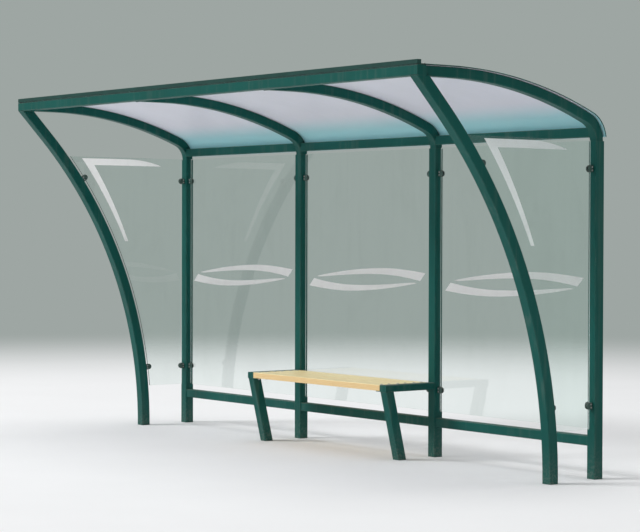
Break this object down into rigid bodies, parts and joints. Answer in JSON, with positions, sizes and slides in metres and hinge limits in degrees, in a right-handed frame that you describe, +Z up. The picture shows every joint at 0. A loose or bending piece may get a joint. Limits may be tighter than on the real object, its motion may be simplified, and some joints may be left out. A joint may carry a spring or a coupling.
{
  "type": "bus shelter",
  "caption": "Open bus shelter with bowed front legs, a bent clear roof on steel ribs, glass back and side panes, and a plain wooden bench.",
  "frame": {"origin": "centre of the footprint, on the ground", "axes": "+X along the shelter to the right when seen from the street, -Y towards the street, +Z up"},
  "size_m": [4.606, 1.5192, 2.49],
  "materials": {
    "frame_paint": "satin",
    "trim_metal": "satin",
    "clamp_metal": "satin",
    "roof_plastic": "gloss",
    "pane_glass": "gloss",
    "seat_wood": "satin"
  },
  "bodies": {
    "root": {"bench_arm_left": "frame_paint", "bench_arm_right": "frame_paint", "bench_board_1": "seat_wood", "bench_board_2": "seat_wood", "bench_board_3": "seat_wood", "bench_ledge_left": "frame_paint", "bench_ledge_right": "frame_paint", "bench_leg_left": "frame_paint", "bench_leg_right": "frame_paint", "bottom_rail_1": "frame_paint", "bottom_rail_2": "frame_paint", "bottom_rail_3": "frame_paint", "front_leg_left": "frame_paint", "front_leg_right": "frame_paint", "rear_beam_1": "frame_paint", "rear_beam_2": "frame_paint", "rear_beam_3": "frame_paint", "rear_clamps_1": "clamp_metal", "rear_clamps_2": "clamp_metal", "rear_clamps_3": "clamp_metal", "rear_glass_1": "pane_glass", "rear_glass_2": "pane_glass", "rear_glass_3": "pane_glass", "rear_post_1": "frame_paint", "rear_post_2": "frame_paint", "rear_post_3": "frame_paint", "rear_post_4": "frame_paint", "roof_cap_1": "trim_metal", "roof_cap_2": "trim_metal", "roof_cap_3": "trim_metal", "roof_cap_4": "trim_metal", "roof_front_trim": "trim_metal", "roof_header": "frame_paint", "roof_rib_1": "frame_paint", "roof_rib_2": "frame_paint", "roof_rib_3": "frame_paint", "roof_rib_4": "frame_paint", "roof_sheet_1": "roof_plastic", "roof_sheet_2": "roof_plastic", "roof_sheet_3": "roof_plastic", "side_clamps_left": "clamp_metal", "side_clamps_right": "clamp_metal", "side_glass_left": "pane_glass", "side_glass_right": "pane_glass"}
  },
  "joints": []
}
